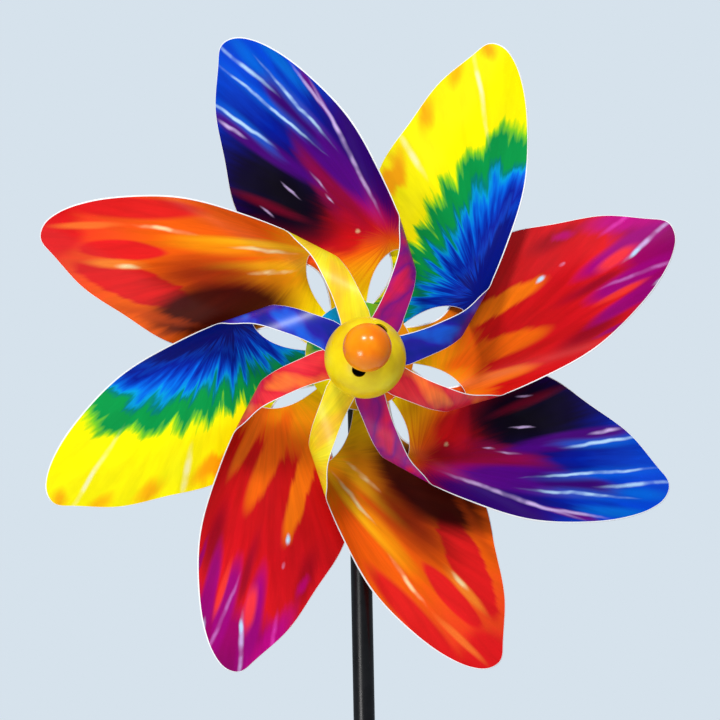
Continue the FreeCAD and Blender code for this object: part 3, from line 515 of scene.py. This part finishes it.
# Each print: where its streaks spring from, how far they drag the colours, the ground colours
# along the petal, and its strokes (start, end, half width, softness, colour, strength), all in
# shares of the petal's length: the first across the wheel outwards, the second towards the arm.
PRINTS = {
    "blue": {
        "source": (0.30, 0.19),
        "drag": 0.09,
        "ground": [(0.10, YELLOW), (0.25, AMBER), (0.29, ORANGE), (0.34, RED), (0.43, DEEP_RED),
                   (0.50, colour(34, 0, 52)), (0.60, INDIGO), (0.74, BLUE), (0.92, BRIGHT_BLUE),
                   (1.0, BRIGHT_BLUE)],
        "strokes": [
            ((0.30, 0.08), (0.43, 0.03), 0.06, 0.25, RED, 0.9),
            # the next two strokes darken the zone by the trailing root: dark dye, and painted shade under
            # the neighbouring petal's curl
            ((0.37, 0.01), (0.70, -0.21), 0.095, 0.45, colour(8, 0, 36), 0.97),
            ((0.42, -0.01), (0.62, -0.12), 0.055, 0.9, colour(4, 0, 10), 0.85),
            ((0.44, -0.05), (0.56, -0.20), 0.012, 0.8, colour(128, 6, 44), 0.8),
            ((0.42, 0.06), (0.62, 0.01), 0.018, 0.8, colour(128, 4, 70), 0.8),
            ((0.36, 0.19), (0.56, 0.10), 0.032, 0.6, MAGENTA, 0.9),
            ((0.37, 0.120), (0.62, 0.030), 0.032, 0.8, colour(150, 2, 58), 0.75),
            ((0.34, 0.24), (0.74, 0.15), 0.05, 0.4, colour(46, 0, 110), 0.92),
            ((0.42, 0.160), (0.85, -0.02), 0.040, 0.25, PURPLE, 0.97),
            ((0.62, 0.065), (0.84, -0.015), 0.024, 0.4, colour(48, 0, 104), 0.9),
            ((0.52, 0.03), (0.82, -0.21), 0.026, 0.3, colour(70, 0, 118), 0.97),
            ((0.70, 0.125), (0.85, 0.083), 0.010, 0.4, colour(104, 6, 128), 0.9),
            ((0.80, 0.075), (0.99, -0.010), 0.014, 0.7, colour(0, 112, 214), 0.7),
            ((0.86, -0.020), (1.00, -0.080), 0.016, 0.7, colour(0, 104, 216), 0.7),
            ((0.64, -0.060), (0.80, -0.150), 0.013, 0.7, colour(0, 84, 200), 0.7),
            ((0.68, 0.030), (0.93, -0.132), 0.015, 0.8, colour(0, 96, 222), 0.65),
            ((0.68, 0.080), (0.90, -0.020), 0.014, 0.8, colour(0, 96, 222), 0.60),
            ((0.70, -0.086), (0.86, -0.204), 0.014, 0.8, colour(0, 92, 214), 0.65),
            ((0.66, 0.040), (0.91, -0.124), 0.0042, 0.7, ICE, 0.92),
            ((0.65, 0.092), (0.87, -0.006), 0.0042, 0.7, ICE, 0.92),
            ((0.69, -0.080), (0.84, -0.196), 0.0050, 0.7, ICE, 0.92),
            ((0.84, -0.026), (0.975, -0.116), 0.0050, 0.8, ICE, 0.8),
            ((0.445, 0.172), (0.74, 0.116), 0.0052, 0.8, LILAC, 0.92),
            ((0.725, 0.117), (0.85, 0.070), 0.0040, 0.8, LILAC, 0.7),
            ((0.72, -0.142), (0.778, -0.190), 0.0050, 0.8, LILAC, 0.95),
            ((0.50, -0.035), (0.545, -0.06), 0.0028, 0.8, LILAC, 0.7),
            ((0.50, 0.048), (0.548, 0.026), 0.0028, 0.8, LILAC, 0.8),
            ((0.455, 0.060), (0.48, 0.050), 0.0028, 0.8, LILAC, 0.8),
            ((0.47, -0.125), (0.50, -0.145), 0.0032, 0.8, LILAC, 0.8),
            ((0.345, 0.105), (0.355, 0.102), 0.0050, 0.8, CREAM, 0.9),
        ],
        "arm": [colour(184, 0, 112), colour(138, 0, 136), colour(222, 18, 84)],
    },
    "orange": {
        "source": (0.24, 0.24),
        "drag": 0.08,
        "ground": [(0.12, YELLOW), (0.30, AMBER), (0.42, ORANGE), (0.70, ORANGE),
                   (0.90, colour(240, 60, 30)), (0.97, RED)],
        "strokes": [
            ((0.24, 0.23), (0.58, 0.09), 0.012, 0.8, colour(254, 196, 20), 0.8),
            ((0.24, 0.17), (0.48, 0.05), 0.014, 0.8, colour(254, 190, 20), 0.7),
            ((0.26, 0.12), (0.44, 0.03), 0.018, 0.8, AMBER, 0.8),
            ((0.40, 0.14), (0.64, 0.05), 0.020, 0.7, AMBER, 0.7),
            ((0.60, 0.170), (0.98, 0.00), 0.032, 0.25, colour(222, 24, 28), 0.95),
            ((0.65, 0.010), (0.88, -0.090), 0.029, 0.15, colour(228, 26, 30), 0.97),
            ((0.51, -0.088), (0.86, -0.142), 0.050, 0.12, colour(222, 22, 28), 0.97),
            ((0.89, -0.05), (1.01, -0.12), 0.060, 0.35, colour(226, 24, 28), 0.95),
            ((0.81, 0.020), (0.965, -0.064), 0.010, 0.5, colour(250, 116, 44), 0.9),
            ((0.68, -0.050), (0.83, -0.114), 0.013, 0.5, colour(252, 132, 40), 0.95),
            ((0.70, -0.066), (0.75, -0.085), 0.006, 0.8, CREAM, 0.7),
            # the next two strokes darken the zone by the trailing root: dark dye, and painted shade under
            # the neighbouring petal's curl
            ((0.32, 0.07), (0.64, -0.05), 0.055, 0.70, colour(120, 14, 4), 0.80),
            ((0.25, 0.04), (0.60, -0.18), 0.080, 0.28, DYE_AND_SHADE_BROWN, 0.97),
            ((0.50, -0.15), (0.70, -0.20), 0.014, 0.8, colour(200, 70, 10), 0.7),
            ((0.615, 0.092), (0.735, 0.053), 0.0050, 0.8, CREAM, 0.65),
            ((0.33, 0.175), (0.45, 0.125), 0.0050, 0.8, CREAM, 0.8),
            ((0.30, 0.125), (0.38, 0.08), 0.0050, 0.8, CREAM, 0.7),
        ],
        "arm": [colour(255, 240, 40), colour(255, 226, 20), colour(255, 200, 40)],
    },
    "red": {
        "source": (0.16, 0.20),
        "drag": 0.075,
        "ground": [(0.10, YELLOW), (0.22, AMBER), (0.33, colour(236, 96, 8)), (0.37, colour(206, 18, 16)),
                   (0.62, colour(204, 14, 24)), (0.80, colour(222, 20, 30)), (0.87, colour(160, 0, 98)),
                   (1.0, colour(140, 0, 96))],
        "strokes": [
            ((0.40, 0.045), (0.62, 0.050), 0.030, 0.5, colour(196, 16, 22), 0.8),
            ((0.38, 0.146), (0.54, 0.126), 0.016, 0.5, colour(190, 16, 18), 0.8),
            ((0.26, 0.012), (0.585, -0.060), 0.026, 0.25, colour(248, 118, 8), 0.97),
            ((0.24, 0.105), (0.55, 0.086), 0.030, 0.25, colour(238, 100, 8), 0.97),
            ((0.22, 0.180), (0.48, 0.180), 0.022, 0.3, colour(240, 108, 16), 0.95),
            ((0.58, 0.150), (0.78, 0.110), 0.022, 0.7, colour(104, 0, 28), 0.7),
            ((0.58, -0.150), (0.74, -0.190), 0.024, 0.7, colour(120, 0, 24), 0.6),
            ((0.62, 0.020), (0.82, -0.020), 0.014, 0.7, colour(116, 0, 40), 0.6),
            ((0.70, -0.040), (1.02, -0.130), 0.028, 0.35, colour(160, 0, 122), 0.95),
            ((0.76, -0.170), (1.00, -0.150), 0.030, 0.5, colour(192, 2, 130), 0.9),
            ((0.70, 0.038), (0.98, -0.020), 0.024, 0.35, colour(160, 0, 122), 0.95),
            ((0.68, 0.108), (0.98, 0.030), 0.019, 0.35, colour(150, 0, 112), 0.95),
            ((0.69, 0.148), (0.84, 0.130), 0.007, 0.5, colour(150, 0, 100), 0.9),
            ((0.75, -0.040), (0.87, -0.076), 0.016, 0.5, colour(255, 56, 56), 0.9),
            ((0.72, 0.056), (0.87, 0.028), 0.009, 0.5, colour(252, 58, 44), 0.9),
            ((0.66, -0.174), (0.71, -0.168), 0.012, 0.8, MAGENTA, 0.8),
            ((0.80, -0.140), (0.90, -0.176), 0.006, 0.8, colour(230, 60, 180), 0.8),
            ((0.855, -0.056), (0.99, -0.118), 0.0060, 0.8, LILAC, 0.85),
            ((0.852, -0.052), (0.885, -0.068), 0.0050, 0.7, ICE, 0.92),
            ((0.78, 0.012), (0.95, -0.004), 0.0050, 0.8, colour(214, 130, 214), 0.8),
            ((0.90, 0.045), (0.94, 0.034), 0.0050, 0.8, ICE, 0.9),
            ((0.565, -0.056), (0.592, -0.066), 0.0052, 0.7, ICE, 0.95),
            ((0.645, -0.086), (0.66, -0.092), 0.0040, 0.8, LILAC, 0.8),
        ],
        "arm": [colour(236, 48, 58), colour(222, 26, 50), colour(246, 110, 44)],
    },
    "green": {
        "source": (0.32, 0.24),
        "drag": 0.15,
        "fingers": 4.2,
        "ground": [(0.0, YELLOW), (1.0, YELLOW)],
        "strokes": [
            ((0.42, -0.17), (0.58, -0.19), 0.034, 0.5, AMBER, 0.9),
            ((0.67, -0.165), (0.76, -0.195), 0.020, 0.8, AMBER, 0.8),
            ((0.83, -0.155), (0.90, -0.175), 0.020, 0.8, AMBER, 0.7),
            ((0.95, -0.10), (0.99, -0.12), 0.022, 0.8, AMBER, 0.8),
            ((0.60, -0.12), (0.66, -0.20), 0.030, 0.9, colour(240, 236, 10), 0.8),
            ((0.955, -0.156), (0.775, -0.010), 0.0060, 0.8, CREAM, 0.95),
            ((0.618, -0.205), (0.562, -0.105), 0.0080, 0.8, CREAM, 0.8),
        ],
        "arm": [colour(2, 26, 150), colour(34, 24, 176), colour(16, 92, 226)],
    },
}
# the green print's bands, across the petal from its wandering edge towards the arm
GREEN_BANDS = [(0.00, YELLOW), (0.03, colour(216, 234, 10)), (0.10, LIME), (0.19, GREEN), (0.39, GREEN),
               (0.47, TEAL), (0.54, CYAN), (0.61, colour(0, 112, 232)), (0.72, colour(0, 62, 196)),
               (0.82, colour(2, 28, 158)), (0.91, colour(0, 60, 190)), (1.0, colour(6, 20, 130))]

# how closely the streaks stand, where a print doesn't say
FINGERS = 9.0
# how far along the streaks the strokes are dragged, as a share of the ground colours' drag
STROKE_DRAG, FINE_DRAG = 0.40, 0.14
# strokes narrower than this keep nearly to their line, and waver this far across it
FINE_STROKE = 0.0085
LINE_SWAY = (0.004, 0.018, 0.0)
# they fade here and there: noise from, to, strength from, to
LINE_FADE = (0.36, 0.58, 0.25, 1.0)
# the print changes to the arm's colours between these distances towards the arm
ARM_PRINT = (0.25, 0.31)
# where the arm's three colours lie in its patches
ARM_PATCHES = (0.38, 0.50, 0.64)
# the ring of colour round the hub, anticlockwise from the right
RING = [(0.0, AMBER), (0.10, AMBER), (0.20, LIME), (0.25, GREEN), (0.33, CYAN), (0.43, CYAN),
        (0.47, GREEN), (0.50, YELLOW), (0.62, YELLOW), (0.78, AMBER), (0.87, ORANGE), (1.0, AMBER)]


def streaked(nodes, place, source, drag, fingers):
    """The print's coordinates dragged along streaks that spring from a point, and the streaks."""
    run = nodes.vector_math("SUBTRACT", place, (*source, 0.0))
    along = nodes.vector_math("LENGTH", run)
    x, y, _ = nodes.split(run)
    turn = nodes.math("ARCTAN2", y, x)
    fan = nodes.vector(nodes.math("MULTIPLY", turn, fingers), nodes.math("MULTIPLY", along, 1.6))
    fine = nodes.noise(fan, 2.2, 3.0, 0.62)
    wide = nodes.noise(nodes.vector_math("ADD", place, (3.7, 1.9, 0.4)), 4.0, 1.0)
    pull = nodes.math("ADD", nodes.math("MULTIPLY", nodes.math("SUBTRACT", fine, 0.5), drag * 2),
                      nodes.math("MULTIPLY", nodes.math("SUBTRACT", wide, 0.5), drag * 0.5))
    direction = nodes.vector_math("NORMALIZE", run)
    moved = nodes.vector_math("ADD", place, nodes.vector_math("SCALE", direction, scale=pull))
    return moved, fine


def sheet_finish(nodes, base, place, bend):
    """Printed film, glossiest where it is drawn tight past the bend, with a slight waver."""
    waver = nodes.noise(place, 7.0, 2.0)
    gloss = nodes.step(waver, 0.3, 0.7, 0.32, 0.44)
    nodes.bump(nodes.noise(place, 16.0, 1.0), 0.10, 0.001)
    nodes.put(nodes.shader.inputs["Coat Weight"], bend)
    return nodes.surface(base, gloss, specular=0.09)


def print_material(kind):
    """One petal's print; in the blue and orange prints the dark zone by the trailing root is partly painted
    shade.
    """
    design = PRINTS[kind]
    nodes = Nodes("print_" + kind)
    uv = nodes.tree.nodes.new("ShaderNodeUVMap")
    uv.uv_map = "print"
    place = uv.outputs[0]
    moved, fine = streaked(nodes, place, design["source"], design["drag"], design.get("fingers", FINGERS))
    p, v, _ = nodes.split(moved)
    base = nodes.ramp(p, design["ground"])
    if kind == "green":
        depth = nodes.math("SUBTRACT", v, nodes.step(p, 0.62, 0.98, -0.05, 0.11))
        # the bands lie closer together near the wheel's middle
        squeeze = nodes.step(p, 0.42, 0.80, 4.4, 3.0)
        base = nodes.ramp(nodes.math("MULTIPLY", depth, squeeze), GREEN_BANDS)
    drift = nodes.vector_math("SUBTRACT", moved, place)
    loose = nodes.vector_math("ADD", place, nodes.vector_math("SCALE", drift, scale=STROKE_DRAG))
    steady = nodes.vector_math("ADD", place, nodes.vector_math("SCALE", drift, scale=FINE_DRAG))
    waver = nodes.math("SUBTRACT", nodes.noise(place, 11.0, 2.0), 0.5)
    sway = nodes.vector_math("SCALE", LINE_SWAY, scale=waver)
    steady = nodes.vector_math("ADD", steady, sway)
    breaks = nodes.step(nodes.noise(place, 12.0, 2.0), *LINE_FADE)
    for start, end, half_width, soft, shade, strength in design["strokes"]:
        is_line = half_width < FINE_STROKE
        mask = nodes.ellipse(steady if is_line else loose, start, end, half_width, soft)
        if is_line:
            mask = nodes.math("MULTIPLY", mask, breaks)
        base = nodes.mix(nodes.math("MULTIPLY", mask, strength), base, shade)
    # the arm beyond the fold
    q, s, _ = nodes.split(place)
    patches = nodes.noise(nodes.vector(nodes.math("MULTIPLY", q, 2.0), s, 0.3), 6.0, 2.0)
    arm = nodes.ramp(patches, list(zip(ARM_PATCHES, design["arm"])))
    base = nodes.mix(nodes.step(s, *ARM_PRINT), base, arm)
    # fine streaks in the dye
    shade = nodes.step(fine, 0.30, 0.70, 0.85, 1.02)
    base = nodes.mix(1.0, base, nodes.vector(shade, shade, shade), "MULTIPLY")
    return sheet_finish(nodes, base, place, nodes.step(s, 0.26, 0.36, 0.0, 0.6))


def disc_material():
    """The ring of colour round the hub."""
    nodes = Nodes("print_ring")
    uv = nodes.tree.nodes.new("ShaderNodeUVMap")
    uv.uv_map = "print"
    place = uv.outputs[0]
    x, z, _ = nodes.split(place)
    turn = nodes.math("DIVIDE", nodes.math("ARCTAN2", z, x), 2 * math.pi)
    waver = nodes.math("MULTIPLY", nodes.math("SUBTRACT", nodes.noise(place, 12.0), 0.5), 0.12)
    turn = nodes.math("FRACT", nodes.math("ADD", nodes.math("ADD", turn, 1.0), waver))
    base = nodes.ramp(turn, RING)
    return sheet_finish(nodes, base, place, nodes.step(waver, -0.1, 0.1, 0.10, 0.20))


def white_material():
    """The sheet's own white plastic, in its border and its cut edge."""
    nodes = Nodes("sheet_white")
    coords = nodes.tree.nodes.new("ShaderNodeTexCoord").outputs["Object"]
    shades = [(0.3, colour(238, 240, 244)), (0.7, colour(250, 250, 252))]
    base = nodes.ramp(nodes.noise(coords, 60.0), shades)
    return nodes.surface(base, 0.35, coat=0.2)


# ---------------------------------------------------------------- the blades

ring_print, white_sheet = disc_material(), white_material()
PETAL_PRINT = ["blue", "green", "red", "blue", "orange", "red", "green", "orange"]
prints = {kind: print_material(kind) for kind in PRINTS}
for level, name in enumerate(BLADES):
    piece, pair = blade_object(name, level)
    for petal in pair:
        piece.data.materials.append(prints[PETAL_PRINT[petal.index]])
    piece.data.materials.append(ring_print)
    piece.data.materials.append(white_sheet)
    solid = piece.modifiers.new("thickness", "SOLIDIFY")
    solid.thickness = SHOWN_THICKNESS
    solid.offset = 0
    solid.material_offset_rim = WHITE_SLOT
    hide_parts(name)
    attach(piece, "wheel")


# ---------------------------------------------------------------- the other pieces

def plastic(name, dark, light, roughness, scale, coat=0.0, bump=0.05, shaded_hollow=None):
    """Moulded plastic: two close tones, a little unevenness; painted shade, near black, inside a hollow
    ball.
    """
    nodes = Nodes(name)
    coords = nodes.tree.nodes.new("ShaderNodeTexCoord").outputs["Object"]
    mottle = nodes.noise(coords, scale, 3.0)
    base = nodes.ramp(mottle, [(0.35, dark), (0.65, light)])
    if shaded_hollow:
        centre, radius = shaded_hollow
        # the ball's inside and its holes' walls are painted near black as shade
        reach = nodes.vector_math("DISTANCE", coords, tuple(centre))
        base = nodes.mix(nodes.step(reach, radius - 1.4 * MM, radius - 0.7 * MM), colour(14, 12, 8), base)
    nodes.bump(nodes.noise(coords, scale * 2.5, 1.0), bump, 0.0006)
    gloss = nodes.step(mottle, 0.3, 0.7, roughness - 0.04, roughness + 0.05)
    return nodes.surface(base, gloss, coat=coat, specular=0.35)


def metal(name, shade, roughness):
    """Plated steel with faint brushing."""
    nodes = Nodes(name)
    coords = nodes.tree.nodes.new("ShaderNodeTexCoord").outputs["Object"]
    grain = nodes.noise(nodes.vector_math("MULTIPLY", coords, (1.0, 1.0, 0.15)), 900.0, 2.0)
    base = nodes.mix(nodes.step(grain, 0.3, 0.7), shade, colour(150, 152, 156))
    return nodes.surface(base, nodes.step(grain, 0.3, 0.7, roughness, roughness + 0.12), metallic=1.0)


ball_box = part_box("hub_ball")
BALL_RADIUS = (ball_box[1].x - ball_box[0].x) / 2
BALL = Vector((HUB.x, ball_box[0].y + BALL_RADIUS, HUB.z))
FINISH = {
    # the yellow ball, its inside painted dark as shade
    "ball": plastic("ball_yellow", colour(232, 196, 0), colour(255, 230, 0), 0.34, 45.0, 0.0, 0.10,
                    (BALL, BALL_RADIUS)),
    "nose": plastic("nose_orange", colour(246, 122, 0), colour(255, 152, 0), 0.20, 50.0, 0.0, 0.04),
    "hub": plastic("hub_plastic", colour(30, 30, 32), colour(44, 44, 46), 0.45, 80.0),
    "bush": plastic("bush_plastic", colour(206, 204, 196), colour(226, 224, 216), 0.40, 90.0),
    "pole": plastic("pole_black", colour(6, 6, 8), colour(14, 14, 17), 0.30, 60.0, 0.1, 0.06),
    "trim": plastic("pole_plastic", colour(22, 22, 24), colour(34, 34, 36), 0.42, 80.0),
    "fixing": metal("fixing_steel", colour(196, 198, 202), 0.22),
    "spike": metal("spike_steel", colour(120, 122, 126), 0.32),
}
WEARS = {
    "hub_ball": "ball", "nose_ball": "nose", "hub_tube": "hub", "rear_flange": "hub", "front_flange": "hub",
    "rear_bush": "bush", "front_bush": "bush",
    "nose_clip": "fixing", "axle": "fixing", "rear_washer": "fixing",
    "front_washer": "fixing", "lock_nut": "fixing", "axle_cap_nut": "fixing", "head_screw": "fixing",
    "ferrule_screws": "fixing", "standoff_sleeve": "trim", "pole_head": "trim", "pole_ferrule": "trim",
    "spike_plug": "trim", "upper_pole": "pole", "lower_pole": "pole", "ground_spike": "spike",
}
for node, finish in WEARS.items():
    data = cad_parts[node].data
    data.materials.clear()
    data.materials.append(FINISH[finish])


# ---------------------------------------------------------------- floor, light and camera

FLOOR_RADIUS = 3.0
# the floor fades out between these shares of its radius
FADE = (0.12, 0.6)


def floor_disc(height, radius):
    """A round floor that fades out before its rim."""
    mesh = bpy.data.meshes.new("floor")
    count = 96
    turns = [2 * math.pi * i / count for i in range(count)]
    corners = [(radius * math.cos(a), radius * math.sin(a), height) for a in turns]
    mesh.from_pydata(corners, [], [list(range(count))])
    floor = bpy.data.objects.new("floor", mesh)
    bpy.context.scene.collection.objects.link(floor)
    nodes = Nodes("floor")
    coords = nodes.tree.nodes.new("ShaderNodeTexCoord").outputs["Object"]
    reach = nodes.vector_math("LENGTH", nodes.vector_math("MULTIPLY", coords, (1.0, 1.0, 0.0)))
    shades = [(0.3, colour(214, 222, 228)), (0.7, colour(222, 229, 234))]
    base = nodes.ramp(nodes.noise(coords, 3.0), shades)
    nodes.surface(base, nodes.step(nodes.noise(coords, 5.0), 0.3, 0.7, 0.6, 0.75))
    clear = nodes.tree.nodes.new("ShaderNodeBsdfTransparent")
    blend_node = nodes.tree.nodes.new("ShaderNodeMixShader")
    nodes.put(blend_node.inputs[0], nodes.step(reach, radius * FADE[0], radius * FADE[1]))
    nodes.tree.links.new(nodes.shader.outputs[0], blend_node.inputs[1])
    nodes.tree.links.new(clear.outputs[0], blend_node.inputs[2])
    nodes.tree.links.new(blend_node.outputs[0], nodes.tree.nodes["Material Output"].inputs["Surface"])
    mesh.materials.append(nodes.material)


def area_light(name, place, target, size, power, shade):
    """A soft square light aimed at a point."""
    data = bpy.data.lights.new(name, "AREA")
    data.shape = "SQUARE"
    data.size = size
    data.energy = power
    data.color = shade
    light = bpy.data.objects.new(name, data)
    light.location = place
    light.visible_camera = False
    light.rotation_euler = (Vector(target) - Vector(place)).to_track_quat("-Z", "Y").to_euler()
    bpy.context.scene.collection.objects.link(light)


floor_disc(cad_bounds[0][2], FLOOR_RADIUS)
SURROUND = 0.30
world = bpy.data.worlds.new("studio")
world.use_nodes = True
background = world.node_tree.nodes["Background"]
background.inputs["Color"].default_value = colour(214, 226, 236)
background.inputs["Strength"].default_value = 1.0
# the pale surroundings show behind the object, and light and reflect in it more dimly
paths = world.node_tree.nodes.new("ShaderNodeLightPath")
dim = world.node_tree.nodes.new("ShaderNodeBackground")
dim.inputs["Color"].default_value = (0.70, 0.80, 0.90, 1)
dim.inputs["Strength"].default_value = SURROUND
choose = world.node_tree.nodes.new("ShaderNodeMixShader")
world.node_tree.links.new(paths.outputs["Is Camera Ray"], choose.inputs[0])
world.node_tree.links.new(dim.outputs[0], choose.inputs[1])
world.node_tree.links.new(background.outputs[0], choose.inputs[2])
world.node_tree.links.new(choose.outputs[0], world.node_tree.nodes["World Output"].inputs["Surface"])
bpy.context.scene.world = world
WARM, LESS_WARM, NEUTRAL = (1.0, 0.98, 0.95), (1.0, 0.98, 0.96), (1.0, 1.0, 1.0)
# name, place, size in metres, power in watts, colour; all face the hub
LIGHTS = [
    ("key_left", (-0.72, -2.0, 2.75), 0.5, 51.0, WARM),
    ("key_right", (0.85, -2.0, 2.75), 0.5, 29.0, WARM),
    ("low", (-0.85, -1.15, 0.0), 0.45, 9.0, LESS_WARM),
    ("back", (0.8, 1.7, 1.6), 1.0, 22.0, NEUTRAL),
]
for name, place, size, power, shade in LIGHTS:
    area_light(name, place, HUB, size, power, shade)

DISTANCE = 2.2
AZIMUTH, ELEVATION, ROLL = math.radians(-3.0), math.radians(1.3), math.radians(1.1)
LENS, SENSOR = 149.7, 36
level = math.cos(ELEVATION)
behind = Vector((math.sin(AZIMUTH) * level, -math.cos(AZIMUTH) * level, math.sin(ELEVATION)))
# the photo's middle lies a little right of the hub and below it
aim = Vector((HUB.x + 0.2 * MM, STACK_FRONT, HUB.z - 3.2 * MM))
camera_data = bpy.data.cameras.new("photo_angle")
camera_data.lens = LENS
camera_data.sensor_width = SENSOR
camera = bpy.data.objects.new("photo_angle", camera_data)
camera.location = aim + behind * DISTANCE
look = (-behind).to_track_quat("-Z", "Y").to_matrix().to_4x4()
camera.rotation_euler = (look @ Matrix.Rotation(-ROLL, 4, "Z")).to_euler()
bpy.context.scene.collection.objects.link(camera)
bpy.context.scene.camera = camera
bpy.context.scene.view_settings.view_transform = "Standard"
